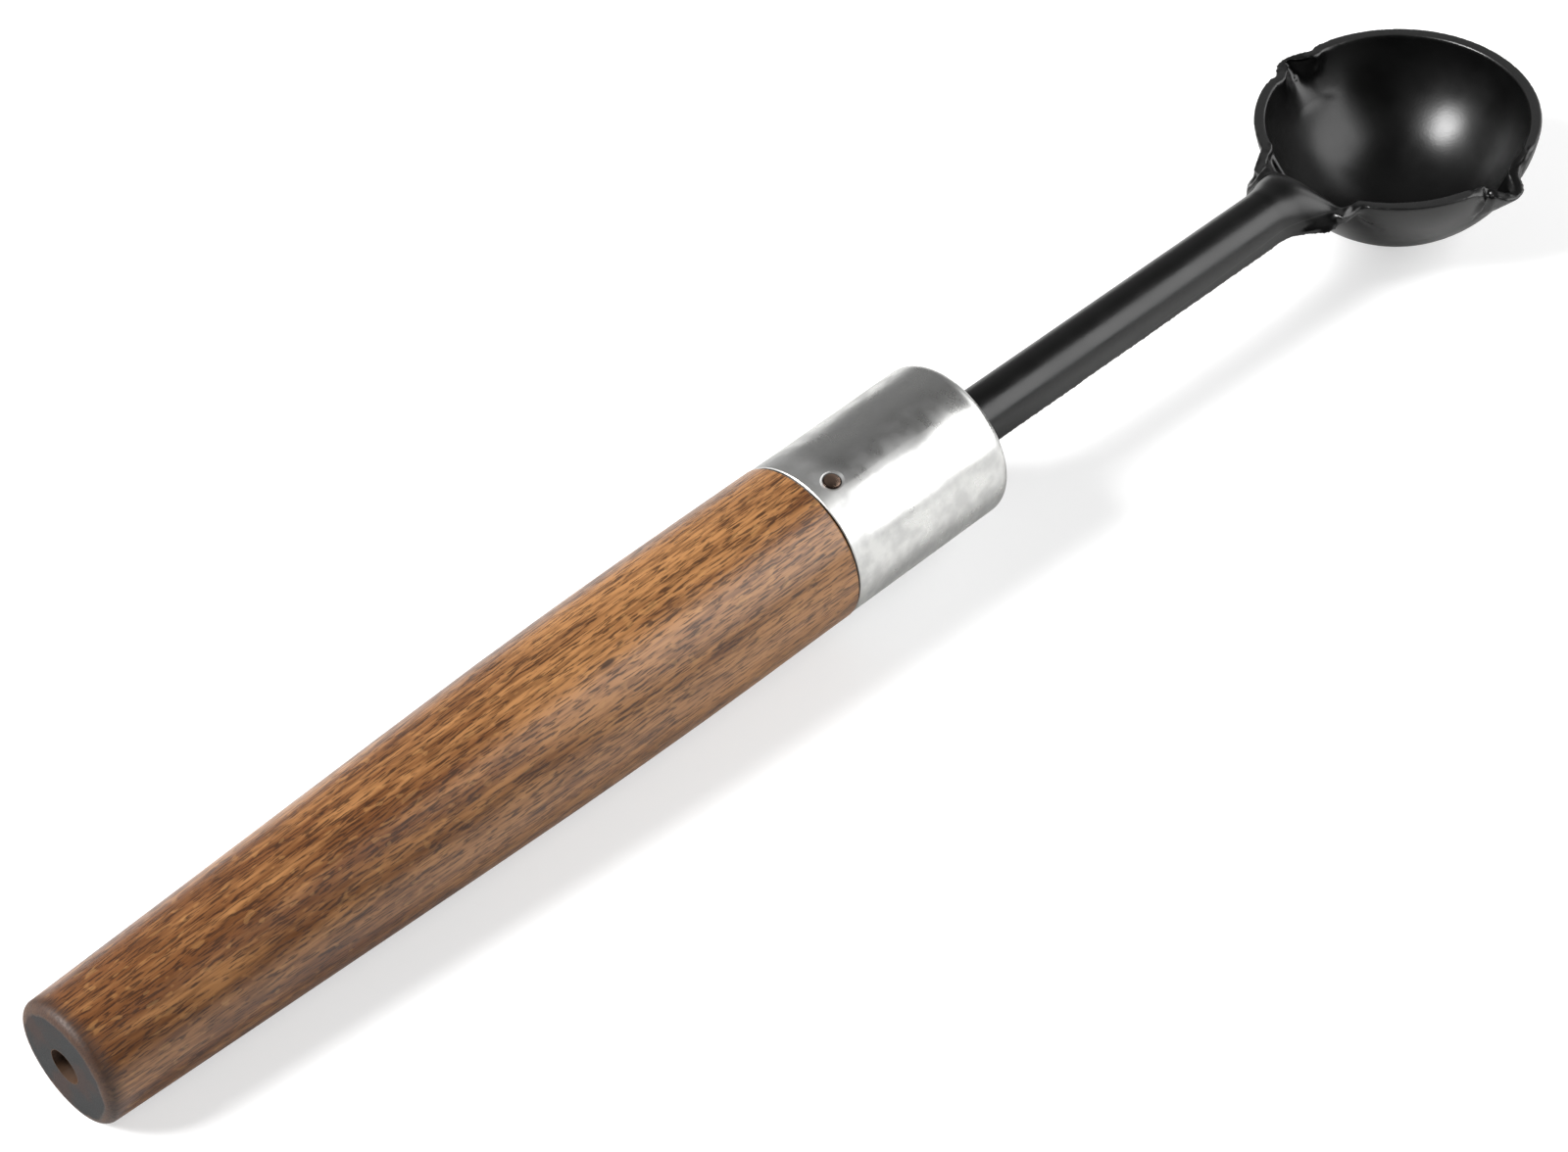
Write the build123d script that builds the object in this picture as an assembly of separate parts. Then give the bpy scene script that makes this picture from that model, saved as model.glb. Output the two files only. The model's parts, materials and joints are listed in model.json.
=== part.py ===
from build123d import *
import math
import os

os.makedirs("parts", exist_ok=True)

# A small pouring ladle: one pressed steel sheet makes the bowl and its channel stem.
# The tang of the stem is driven into a turned wooden handle, under a drawn steel ferrule.
# Each piece is drawn along the handle's axis: X runs from the butt to the bowl and Z is up.
# At the end the whole ladle is laid down as it rests, on its bowl and on its butt edge.

# Sheet steel of the bowl and stem
SHEET = 1.6

# Bowl, measured outside
RIM_RADIUS = 20.1
BOWL_DEPTH = 17.6
BOWL_TIP_UP = 1.86
FERRULE_TO_BOWL = 90.1

# Throat, where the bowl's wall leans out and folds over a crest into the stem
CREST_HEIGHT = 3.55
CREST_BEND = 3.5
CREST_SETBACK = 24.1
CREST_END_ANGLE = 94.0
THROAT_HALF_WIDTH = 10.5
THROAT_FAR_SIDE = 7.6
THROAT_FAR_SPREAD = 30.0
THROAT_NEAR_SIDE = 8.5
THROAT_NEAR_SPREAD = 3.0

# Stem, a channel with a half round back and two flanges
STEM_HALF_WIDTH = 3.8
STEM_FLANGE = 2.3
STEM_TOP_AT_RIM = 3.3
STEM_DROOP = 1.0
TANG_LENGTH = 40.0

# Neck, where the channel widens and its flanges spread into gathered webs
NECK_LENGTH = 8.5
NECK_HALF_WIDTH = 7.2
NECK_CREASE_HEIGHT = 0.1
NECK_FLARE = 1.3
NECK_ROLL = 3.0
NECK_SECTIONS = 6
WEB_HALF_WIDTH = 8.3
WEB_SWEEP = 115.0
WEB_FOOT_HEIGHT = -1.6

# Pouring spouts, pressed into the rim on both sides, the near one deeper
LIP_SADDLE_RADIUS = 13.75
FAR_LIP_REACH = 21.7
FAR_LIP_DROP = 0.7
FAR_LIP_ANGLE = 10.0
FAR_SPOUT_HALF_ANGLE = 40.0
NEAR_LIP_REACH = 22.3
NEAR_LIP_DROP = 2.6
NEAR_LIP_ANGLE = 15.0
NEAR_SPOUT_HALF_ANGLE = 26.0
NEAR_SPOUT_SHIFT = -0.35
SPOUT_NOSE_RADIUS = 2.5
SPOUT_CREASE_RADIUS = 0.3
FAR_SPOUT_SLOPE = 1.25
NEAR_SPOUT_SLOPE = 0.95
SPOUT_DEPTH = 8.0
PINCH_OFFSET = 4.0
PINCH_STAND_OFF = 0.35
PINCH_GROOVE = 0.8
PINCH_DEPTH = 4.5
PINCH_FADE = 0.7

# Handle, turned hardwood
WOOD_LENGTH = 118.2
BUTT_RADIUS = 8.5
BUTT_ROUND = 1.3
BELLY_RADIUS = 10.57
BELLY_SHARE = 0.51
SHOULDER_RADIUS = 11.25
SHOULDER_SHARE = 0.88
FRONT_RADIUS = 11.2
FRONT_CHAMFER = 0.3
BUTT_HOLE_RADIUS = 2.38
BUTT_HOLE_DEPTH = 14.0
DRILL_POINT_ANGLE = 118.0
TANG_HOLE_CLEARANCE = 0.05
TANG_END_GAP = 0.5

# Ferrule, a drawn cup with a pierced end
FERRULE_RADIUS = 11.1
FERRULE_LENGTH = 27.9
FERRULE_SHEET = 0.8
FERRULE_SHOULDER = 1.7
FERRULE_REAR_CHAMFER = 0.3
FERRULE_CLEARANCE = 0.05
FERRULE_END_GAP = 0.2
STEM_OPENING_CLEARANCE = 0.2

# Brad that locks the ferrule to the wood
BRAD_FROM_EDGE = 3.5
BRAD_ANGLE = 17.7
BRAD_SHANK_RADIUS = 0.7
BRAD_LENGTH = 5.5
BRAD_POINT = 1.2
BRAD_HEAD_RADIUS = 1.05
BRAD_HEAD_HEIGHT = 0.35
BRAD_HEAD_DOME = 0.15
BRAD_CLEARANCE = 0.03
DIMPLE_RADIUS = 1.7
DIMPLE_DEPTH = 0.35

# Room past a face, so that a cut runs clear through it
CUT_MARGIN = 2.0

# Where the pieces end along the handle's axis
ferrule_front = WOOD_LENGTH + FERRULE_LENGTH
spigot_front = ferrule_front - FERRULE_SHEET - FERRULE_END_GAP
tang_end_place = spigot_front - TANG_LENGTH
butt_to_bowl = ferrule_front + FERRULE_TO_BOWL
stem_far_end = butt_to_bowl - tang_end_place

# Bowl: a sphere whose middle lies a little above the rim
sphere_radius = (RIM_RADIUS ** 2 + BOWL_DEPTH ** 2) / (2 * BOWL_DEPTH)
sphere_centre = sphere_radius - BOWL_DEPTH
above_all = BOWL_DEPTH

# Throat: in the middle section the wall leaves the sphere on a line that touches the bend too
crest_centre_height = CREST_HEIGHT - CREST_BEND
crest_fall = math.atan2(sphere_centre - crest_centre_height, CREST_SETBACK)
crest_distance = math.hypot(CREST_SETBACK, sphere_centre - crest_centre_height)
wall_lean = crest_fall + math.acos((sphere_radius - SHEET + CREST_BEND) / crest_distance)
crest_face = CREST_SETBACK - CREST_BEND + SHEET


def bowl_form(inset):
    """Ball of the bowl and a round shaft above its middle. inset is 0 outside, SHEET inside."""
    radius = sphere_radius - inset
    ball = Pos(0, 0, sphere_centre) * Sphere(radius)
    shaft = Pos(0, 0, sphere_centre + above_all / 2) * Cylinder(radius, above_all)
    return ball + shaft


def throat_form(inset):
    """The mouth of the neck: a leaning wall that bends outwards over the crest."""
    radius = sphere_radius - inset
    bend = CREST_BEND - SHEET + inset
    half_width = THROAT_HALF_WIDTH - inset
    end_angle = math.radians(CREST_END_ANGLE)

    def on_bend(angle):
        return (
            -CREST_SETBACK - bend * math.cos(angle),
            crest_centre_height + bend * math.sin(angle),
        )

    foot = (-radius * math.cos(wall_lean), sphere_centre - radius * math.sin(wall_lean))
    join = on_bend(math.pi - wall_lean)
    bend_end = on_bend(end_angle)
    reach = (
        bend_end[0] - CREST_SETBACK,
        bend_end[1] + CREST_SETBACK * math.tan(end_angle - math.pi / 2),
    )
    side_outline = [
        Line(foot, join),
        ThreePointArc(join, on_bend((math.pi - wall_lean + end_angle) / 2), bend_end),
        Polyline(bend_end, reach, (reach[0], above_all), (0, above_all), (0, sphere_centre), foot),
    ]
    front_outline = Polyline(
        (0, foot[1]), (half_width, 0), (half_width, above_all),
        (-half_width, above_all), (-half_width, 0), close=True,
    )

    def side_place(behind, half_width_at_crest, spread):
        spread = math.radians(spread)
        return half_width_at_crest + (crest_face - behind) * math.tan(spread) - inset / math.cos(spread)

    plan_end = CREST_SETBACK + CREST_BEND
    plan_outline = Polyline(
        (0, side_place(0, THROAT_FAR_SIDE, THROAT_FAR_SPREAD)),
        (-plan_end, side_place(plan_end, THROAT_FAR_SIDE, THROAT_FAR_SPREAD)),
        (-plan_end, -side_place(plan_end, THROAT_NEAR_SIDE, THROAT_NEAR_SPREAD)),
        (0, -side_place(0, THROAT_NEAR_SIDE, THROAT_NEAR_SPREAD)),
        close=True,
    )
    wall = extrude(Plane.XZ * make_face(side_outline), amount=half_width, both=True)
    front = extrude(Plane.YZ * make_face(front_outline), amount=reach[0])
    plan = extrude(Plane.XY.offset(foot[1]) * make_face(plan_outline), amount=above_all - foot[1])
    return wall & front & plan


def spout_form(side, reach, drop, half_angle, slope, inset):
    """Rounded V that slants out through the wall, full size at the height of its lip."""
    half_angle = math.radians(half_angle)
    nose_radius = SPOUT_CREASE_RADIUS if inset else SPOUT_NOSE_RADIUS
    outer_tip = reach + SPOUT_NOSE_RADIUS * (1 / math.sin(half_angle) - 1)
    lean = math.hypot(1, slope * math.sin(half_angle))
    tip = outer_tip - inset * lean / math.sin(half_angle)
    start = reach / 2
    half_width = (tip - start) * math.tan(half_angle)
    wedge = make_face(Polyline((-half_width, start), (0, tip), (half_width, start), close=True))
    wedge = fillet(wedge.vertices().sort_by(Axis.Y)[-1], nose_radius)
    above = drop + CUT_MARGIN
    run = Vector(0, -slope, -1)
    wedge = Pos(0, slope * above, CUT_MARGIN) * wedge
    form = extrude(wedge, amount=(above + SPOUT_DEPTH) * run.length, dir=run)
    if side < 0:
        form = Pos(NEAR_SPOUT_SHIFT, 0, 0) * mirror(form, Plane.XZ)
    return form


def lip_saddle(side, reach, drop, angle):
    """Long round bar that takes the rim down over a spout, deepest and sloping at its lip."""
    bar = Pos(0, 0, LIP_SADDLE_RADIUS) * Rot(90, 0, 0) * Cylinder(LIP_SADDLE_RADIUS, reach)
    return Pos(0, side * reach, -drop) * Rot(-side * angle, 0, 0) * bar


def pinch_form(side, hand, inset):
    """Tapered groove beside a spout. On the inner skin the same fold is wider by the sheet."""

    def wall_middle(height):
        wall = sphere_radius ** 2 - (height - sphere_centre) ** 2
        return math.sqrt(wall - PINCH_OFFSET ** 2) + PINCH_STAND_OFF

    lean = math.atan2(wall_middle(0) - wall_middle(-PINCH_DEPTH), PINCH_DEPTH)
    length = (PINCH_DEPTH + CUT_MARGIN) / math.cos(lean)
    top_radius = PINCH_GROOVE * (1 + PINCH_FADE * CUT_MARGIN / PINCH_DEPTH) + inset
    cone = Pos(0, 0, length / 2) * Cone(PINCH_GROOVE * (1 - PINCH_FADE) + inset, top_radius, length)
    foot = Pos(hand * PINCH_OFFSET, side * wall_middle(-PINCH_DEPTH), -PINCH_DEPTH)
    return foot * Rot(-side * math.degrees(lean), 0, 0) * cone


def stem_top(distance):
    """Height of the stem's back above the rim plane, at a distance behind the bowl's middle."""
    slope = math.tan(math.radians(BOWL_TIP_UP + STEM_DROOP))
    return STEM_TOP_AT_RIM + slope * (distance - RIM_RADIUS)


def neck_top(distance):
    """Height of the neck's back, which rolls over into the bowl past the crest."""
    past = max(CREST_SETBACK - distance, 0)
    return stem_top(distance) - past ** 2 / (2 * NECK_ROLL)


def channel_face(distance, top, crease, foot, inset):
    """Cross section of the channel: a round back between two creases, and the flanges below."""
    top = top - inset
    crease = (crease[0] - inset, crease[1])
    foot = (foot[0] - inset, foot[1] + min(inset, 0))
    if inset > 0:
        steep = (foot[0] - crease[0]) / (crease[1] - foot[1])
        foot = (foot[0] + steep * CUT_MARGIN, foot[1] - CUT_MARGIN)
    outline = [
        Line((-foot[0], foot[1]), (-crease[0], crease[1])),
        ThreePointArc((-crease[0], crease[1]), (0, top), crease),
        Line(crease, foot),
        Line(foot, (-foot[0], foot[1])),
    ]
    plane = Plane(origin=(-distance, 0, 0), x_dir=(0, 1, 0), z_dir=(1, 0, 0))
    return plane * make_face(outline)


def stem_section(distance, inset):
    """The channel as it is along the straight stem."""
    top = stem_top(distance)
    crease = (STEM_HALF_WIDTH, top - STEM_HALF_WIDTH)
    foot = (STEM_HALF_WIDTH, crease[1] - STEM_FLANGE)
    return channel_face(distance, top, crease, foot, inset)


def neck_section(share, inset):
    """The channel in the neck, where share runs from 0 at the stem to 1 at the rim."""
    distance = RIM_RADIUS + NECK_LENGTH * (1 - share)
    growth = share ** NECK_FLARE
    spread = math.sin(math.radians(WEB_SWEEP) * share) ** 2
    start_height = stem_top(distance) - STEM_HALF_WIDTH
    crease = (
        STEM_HALF_WIDTH + (NECK_HALF_WIDTH - STEM_HALF_WIDTH) * growth,
        start_height + (NECK_CREASE_HEIGHT - start_height) * growth,
    )
    foot_height = start_height - STEM_FLANGE
    foot = (
        STEM_HALF_WIDTH + (WEB_HALF_WIDTH - STEM_HALF_WIDTH) * spread,
        foot_height + (WEB_FOOT_HEIGHT - foot_height) * growth,
    )
    return channel_face(distance, neck_top(distance), crease, foot, inset)


def stem_bar(near, far, inset):
    """The straight channel between two distances behind the bowl's middle."""
    run = Vector(far - near, 0, stem_top(near) - stem_top(far))
    return extrude(stem_section(far, inset), amount=run.length, dir=run)


def channel_form(inset):
    """Everything under the channel's skin, from the tang's end to the rim."""
    tang_end = stem_far_end + (CUT_MARGIN if inset else 0)
    shares = [step / (NECK_SECTIONS - 1) for step in range(NECK_SECTIONS)]
    neck = loft([neck_section(share, inset) for share in shares])
    return stem_bar(RIM_RADIUS + NECK_LENGTH, tang_end, inset) + neck


# The pressed sheet, drawn about the middle of the rim
outer_skin = bowl_form(0) + throat_form(0)
solid_bowl = outer_skin
hollow = bowl_form(SHEET) + throat_form(SHEET)
for side, reach, drop, lip_angle, half_angle, slope in (
    (1, FAR_LIP_REACH, FAR_LIP_DROP, FAR_LIP_ANGLE, FAR_SPOUT_HALF_ANGLE, FAR_SPOUT_SLOPE),
    (-1, NEAR_LIP_REACH, NEAR_LIP_DROP, NEAR_LIP_ANGLE, NEAR_SPOUT_HALF_ANGLE, NEAR_SPOUT_SLOPE),
):
    solid_bowl += spout_form(side, reach, drop, half_angle, slope, 0)
    hollow += spout_form(side, reach, drop, half_angle, slope, SHEET)
    for hand in (1, -1):
        solid_bowl -= pinch_form(side, hand, 0)
        hollow -= pinch_form(side, hand, SHEET)
    solid_bowl -= lip_saddle(side, reach, drop, lip_angle)
over_rim = Pos(0, 0, above_all) * Box(6 * RIM_RADIUS, 6 * RIM_RADIUS, 2 * above_all)
solid_bowl -= over_rim
under_sheet = channel_form(SHEET) - outer_skin
pressed = solid_bowl + channel_form(0) - hollow - under_sheet

# The bowl's own frame, set on the handle's axis with the tip turned up
bowl_place = Pos(butt_to_bowl, 0, 0) * Rot(0, -BOWL_TIP_UP, 0)
bowl_and_stem = bowl_place * pressed

# Ferrule: a cup drawn from thin sheet, its end pierced for the stem
ferrule_bore = FERRULE_RADIUS - FERRULE_SHEET
brad_place = Pos(WOOD_LENGTH + BRAD_FROM_EDGE, 0, 0) * Rot(BRAD_ANGLE, 0, 0)
head_seat = FERRULE_RADIUS - DIMPLE_DEPTH

# The cup's inner corner is a chamfer that leaves the full sheet under the round shoulder
cup_corner = (FERRULE_SHOULDER - FERRULE_SHEET) * (2 - math.sqrt(2))


def round_bar(start, end, radius):
    """Bar along the handle's axis."""
    return Pos((start + end) / 2, 0, 0) * Rot(0, 90, 0) * Cylinder(radius, end - start)


def front_edge(bar):
    """The round edge at the bar's end towards the bowl."""
    return bar.edges().filter_by(GeomType.CIRCLE).sort_by(Axis.X)[-1]


def rear_edge(bar):
    """The round edge at the bar's end towards the butt."""
    return bar.edges().filter_by(GeomType.CIRCLE).sort_by(Axis.X)[0]


cup = round_bar(WOOD_LENGTH, ferrule_front, FERRULE_RADIUS)
cup = fillet(front_edge(cup), FERRULE_SHOULDER)
cup = chamfer(rear_edge(cup), FERRULE_REAR_CHAMFER)
cup_inside = round_bar(WOOD_LENGTH - CUT_MARGIN, ferrule_front - FERRULE_SHEET, ferrule_bore)
cup_inside = chamfer(front_edge(cup_inside), cup_corner)
stem_opening = bowl_place * stem_bar(
    butt_to_bowl - ferrule_front - CUT_MARGIN,
    butt_to_bowl - spigot_front + CUT_MARGIN,
    -STEM_OPENING_CLEARANCE,
)
dish_radius = (DIMPLE_RADIUS ** 2 + DIMPLE_DEPTH ** 2) / (2 * DIMPLE_DEPTH)
dimple = brad_place * Pos(0, 0, head_seat + dish_radius) * Sphere(dish_radius)
brad_hole_radius = BRAD_SHANK_RADIUS + BRAD_CLEARANCE
brad_hole = brad_place * Pos(0, 0, FERRULE_RADIUS) * Cylinder(
    brad_hole_radius, 2 * (FERRULE_RADIUS - head_seat + BRAD_LENGTH)
)
head_recess = brad_place * Pos(0, 0, head_seat + BRAD_HEAD_HEIGHT) * Cylinder(
    BRAD_HEAD_RADIUS + BRAD_CLEARANCE, 2 * BRAD_HEAD_HEIGHT
)
ferrule = cup - cup_inside - stem_opening - dimple - head_recess - brad_hole

# Handle: turned wood with a spigot under the ferrule, a hole for the tang and a hole in the butt
butt_edge = (0, BUTT_RADIUS - BUTT_ROUND)
butt_corner = BUTT_ROUND * (1 - math.sqrt(0.5))
barrel_start = (BUTT_ROUND, BUTT_RADIUS)
shoulder = (SHOULDER_SHARE * WOOD_LENGTH, SHOULDER_RADIUS)
taper = Line(barrel_start, (BELLY_SHARE * WOOD_LENGTH, BELLY_RADIUS))
belly = TangentArc(taper @ 1, shoulder, tangent=taper % 1)
handle_outline = [
    Polyline((0, 0), butt_edge),
    ThreePointArc(butt_edge, (butt_corner, BUTT_RADIUS - butt_corner), barrel_start),
    taper,
    belly,
    Polyline(shoulder, (WOOD_LENGTH, FRONT_RADIUS), (WOOD_LENGTH, 0), (0, 0)),
]
barrel = revolve(Plane.XZ * make_face(handle_outline), Axis.X)
barrel = chamfer(front_edge(barrel), FRONT_CHAMFER)
spigot = round_bar(WOOD_LENGTH - CUT_MARGIN, spigot_front, ferrule_bore - FERRULE_CLEARANCE)
spigot = chamfer(front_edge(spigot), cup_corner)
drill_point = BUTT_HOLE_RADIUS / math.tan(math.radians(DRILL_POINT_ANGLE / 2))
butt_hole = revolve(
    Plane.XZ * make_face(Polyline(
        (-CUT_MARGIN, 0), (-CUT_MARGIN, BUTT_HOLE_RADIUS), (BUTT_HOLE_DEPTH, BUTT_HOLE_RADIUS),
        (BUTT_HOLE_DEPTH + drill_point, 0), close=True,
    )),
    Axis.X,
)

# The tang touches the wall of its round hole with its back and with both flanges
tang_middle = STEM_FLANGE ** 2 / (2 * (STEM_HALF_WIDTH + STEM_FLANGE))
tang_hole_radius = STEM_HALF_WIDTH + tang_middle + TANG_HOLE_CLEARANCE


def tang_hole_middle(distance):
    """The middle of the tang's hole, at a distance behind the bowl's middle."""
    return Vector(-distance, 0, stem_top(distance) - STEM_HALF_WIDTH - tang_middle)


tang_hole_start = tang_hole_middle(butt_to_bowl - spigot_front - CUT_MARGIN)
tang_hole_end = tang_hole_middle(stem_far_end + TANG_END_GAP)
tang_hole = Cylinder(tang_hole_radius, (tang_hole_start - tang_hole_end).length)
tang_hole = Rot(0, 90 + BOWL_TIP_UP + STEM_DROOP, 0) * tang_hole
tang_hole = bowl_place * Pos((tang_hole_start + tang_hole_end) / 2) * tang_hole
handle = barrel + spigot - butt_hole - tang_hole - brad_hole

# Brad: a small domed nail through the ferrule into the wood
head_rim = head_seat + BRAD_HEAD_HEIGHT
brad_end = head_seat - BRAD_LENGTH
brad_outline = [
    Polyline((0, head_rim + BRAD_HEAD_DOME), (0, brad_end), (BRAD_SHANK_RADIUS, brad_end + BRAD_POINT)),
    Polyline(
        (BRAD_SHANK_RADIUS, brad_end + BRAD_POINT),
        (BRAD_SHANK_RADIUS, head_seat),
        (BRAD_HEAD_RADIUS, head_seat),
        (BRAD_HEAD_RADIUS, head_rim),
    ),
    TangentArc((0, head_rim + BRAD_HEAD_DOME), (BRAD_HEAD_RADIUS, head_rim), tangent=(1, 0)),
]
ferrule_pin = brad_place * revolve(Plane.XZ * make_face(brad_outline), Axis.Z)

# At rest the ladle lies on its bowl and on the round edge of its butt
bowl_middle = (bowl_place * Pos(0, 0, sphere_centre)).position
edge_middle = (BUTT_ROUND, BUTT_ROUND - BUTT_RADIUS)
run = bowl_middle.X - edge_middle[0]
rise = bowl_middle.Z - edge_middle[1]
rest_tilt = math.degrees(
    math.atan2(rise, run) - math.asin((sphere_radius - BUTT_ROUND) / math.hypot(run, rise))
)
nodes = {
    "bowl_and_stem": bowl_and_stem,
    "ferrule": ferrule,
    "handle": handle,
    "ferrule_pin": ferrule_pin,
}
lying = {name: Rot(0, rest_tilt, 0) * solid for name, solid in nodes.items()}
box = Compound(list(lying.values())).bounding_box()
to_origin = Pos(-(box.min.X + box.max.X) / 2, -(box.min.Y + box.max.Y) / 2, -box.min.Z)
print("rest tilt", round(rest_tilt, 3), "origin shift", to_origin.position)

for name, solid in lying.items():
    export_step(to_origin * solid, f"parts/{name}.step")
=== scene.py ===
import json
import math

import bpy
import bmesh
from mathutils import Matrix, Vector, kdtree


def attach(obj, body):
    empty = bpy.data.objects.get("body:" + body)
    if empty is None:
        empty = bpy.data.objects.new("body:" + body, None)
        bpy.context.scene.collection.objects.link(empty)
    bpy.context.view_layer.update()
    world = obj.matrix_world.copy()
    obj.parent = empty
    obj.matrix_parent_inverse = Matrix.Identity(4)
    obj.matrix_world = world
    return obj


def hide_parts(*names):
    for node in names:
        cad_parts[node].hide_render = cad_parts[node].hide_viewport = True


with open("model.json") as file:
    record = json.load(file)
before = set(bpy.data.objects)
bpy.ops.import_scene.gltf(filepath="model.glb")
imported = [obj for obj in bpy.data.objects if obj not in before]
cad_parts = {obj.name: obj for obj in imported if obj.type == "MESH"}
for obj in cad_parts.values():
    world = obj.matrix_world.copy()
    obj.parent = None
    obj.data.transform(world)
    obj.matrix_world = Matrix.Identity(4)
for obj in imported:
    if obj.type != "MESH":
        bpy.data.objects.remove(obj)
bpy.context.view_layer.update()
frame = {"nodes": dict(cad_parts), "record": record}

# Bowl and stem
# One pressed piece of 1.6 mm sheet steel: the bowl with two pinched spouts, the gathered neck and the
# channel stem. The plain solid is given a fine skin, and the folds, creases and tool marks of the
# pressing are worked into that skin.

# The handle is turned about one axis, which the butt hole's mount gives, and every piece is fixed along
# it. Places along it are in millimetres from the butt: X towards the bowl, Z up.
MM = 0.001
butt_hole = frame["record"]["mounts"][0]
handle_axis = -Vector(butt_hole["axis"]).normalized()
handle_side = Vector((0, 1, 0))
handle_up = handle_axis.cross(handle_side)
butt_middle = Vector(butt_hole["pos_m"]) - handle_axis * butt_hole["dims"]["length_mm"] * MM / 2


def from_butt(x, y, z):
    """A place in the handle's own frame, as a vector in metres."""
    return butt_middle + (handle_axis * x + handle_side * y + handle_up * z) * MM


def towards(x, y, z):
    """A direction in the handle's own frame."""
    return (handle_axis * x + handle_side * y + handle_up * z).normalized()


# Places on the bowl and the neck are in millimetres from the middle of the rim
BOWL_FROM_BUTT = 236.2
RIM_TIP_UP = math.radians(1.86)
SHEET = 1.6
EDGE_ROUND = 0.3
MERGE_WITHIN = 0.002
SKIN_CELL = 0.28
SKIN_KEPT = 0.62
GRID_TURN = Matrix.Rotation(0.6, 4, Vector((1, 1, 0.4)))
BOWL_RADIUS = 20.28
BOWL_MIDDLE_UP = 2.68

rim_axis = towards(math.cos(RIM_TIP_UP), 0, math.sin(RIM_TIP_UP))
rim_turn = Matrix((rim_axis, handle_side, rim_axis.cross(handle_side))).transposed()
rim_frame = Matrix.Translation(from_butt(BOWL_FROM_BUTT, 0, 0)) @ rim_turn.to_4x4() @ Matrix.Scale(MM, 4)
into_rim_frame = rim_frame.inverted()

# Each fold or mark: its path over the skin, its width and how far it stands up
NECK_MARKS = (
    (((-14.9, 10.6, 0.0), (-16.3, 9.0, 0.0), (-18.0, 8.0, 0.0), (-19.8, 7.0, 0.1)), 0.45, 0.45),
    (((-18.6, 7.2, -0.6), (-20.8, 6.0, 0.5), (-22.6, 5.6, 0.3), (-23.9, 6.7, -1.4)), 0.45, 0.5),
    (((-20.3, 4.9, 1.1), (-22.4, 4.4, 1.4), (-24.2, 4.8, 0.2), (-25.4, 5.2, -1.0)), 0.45, -0.5),
    (((-19.6, 8.6, -0.3), (-21.8, 7.1, -0.8), (-23.1, 6.5, -0.9)), 0.4, -0.45),
    (((-20.8, 5.6, 0.6), (-21.6, 5.4, 0.8)), 0.25, -0.3),
    (((-19.9, -7.6, 0.0), (-22.0, -6.6, -0.4), (-24.1, -6.0, -0.8), (-25.8, -4.9, -1.3), (-27.4, -4.4, -1.5)),
     0.4, -0.2),
    (((-19.4, -7.9, -0.1), (-20.6, -8.1, -0.3), (-21.4, -8.2, -0.9), (-22.6, -7.9, -1.8)), 0.4, -0.15),
    (((-23.8, -6.5, -1.2), (-25.1, -5.7, -1.5), (-26.8, -4.6, -1.8)), 0.35, 0.22),
    (((-23.2, -7.0, -1.5), (-24.3, -6.5, -1.7), (-25.5, -5.5, -1.9)), 0.35, -0.2),
    (((-19.0, -7.3, 0.1), (-20.4, -7.7, 0.0)), 0.45, 0.45),
    (((-18.6, -7.9, 0.0), (-19.6, -8.3, 0.0), (-20.6, -8.6, -0.1)), 0.3, -0.3),
    (((-16.9, 8.5, -0.3), (-17.5, 7.4, -1.1), (-17.7, 6.6, -1.8), (-17.6, 6.0, -2.3)), 0.8, -0.8),
    (((-17.9, -7.9, -2.4), (-17.3, -8.6, -3.3), (-16.7, -9.2, -3.9), (-15.6, -10.3, -4.8)), 0.35, -0.3),
    (((-17.3, -8.1, -2.7), (-16.7, -8.9, -3.4), (-15.7, -9.9, -4.2)), 0.3, 0.18),
)
SPOUT_MARKS = (
    (((-2.9, -18.7, -1.3), (-3.3, -19.2, -1.6), (-3.6, -19.5, -2.1)), 0.5, -1.3),
    (((-3.7, -19.0, -2.1), (-4.6, -19.0, -2.7), (-4.9, -18.2, -4.6)), 0.4, 0.65),
    (((-3.7, -19.0, -2.9), (-3.8, -18.6, -4.3), (-4.0, -17.6, -6.2)), 0.4, -0.75),
    (((-3.0, -19.5, -2.6), (-2.6, -18.9, -4.6), (-2.8, -18.2, -6.0)), 0.4, 0.55),
    (((0.6, -19.6, -2.9), (-1.1, -20.9, -2.5)), 0.4, 0.5),
    (((7.2, -18.1, 0.0), (5.6, -18.6, -0.3), (3.9, -18.8, -1.1)), 0.35, 0.5),
    (((8.3, -16.4, 0.0), (8.8, -18.0, 0.0)), 0.3, -0.4),
    (((2.9, 17.7, -2.0), (2.7, 17.6, -3.0)), 0.4, 0.2),
    (((3.2, 16.2, -6.1), (4.8, 15.0, -7.2), (5.6, 14.0, -8.2)), 0.6, 0.07),
    (((2.6, 14.9, -8.0), (2.9, 13.9, -9.2), (2.8, 13.1, -10.3)), 0.7, 0.06),
    (((2.9, 13.1, -10.2), (2.4, 12.5, -10.9), (1.2, 12.2, -11.3)), 0.6, -0.05),
    (((12.4, 1.4, -11.1), (12.6, 1.6, -10.9)), 0.4, -0.06),
    (((10.5, 17.0, 0.0), (11.2, 16.8, 0.0)), 0.3, 0.3),
)


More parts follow.
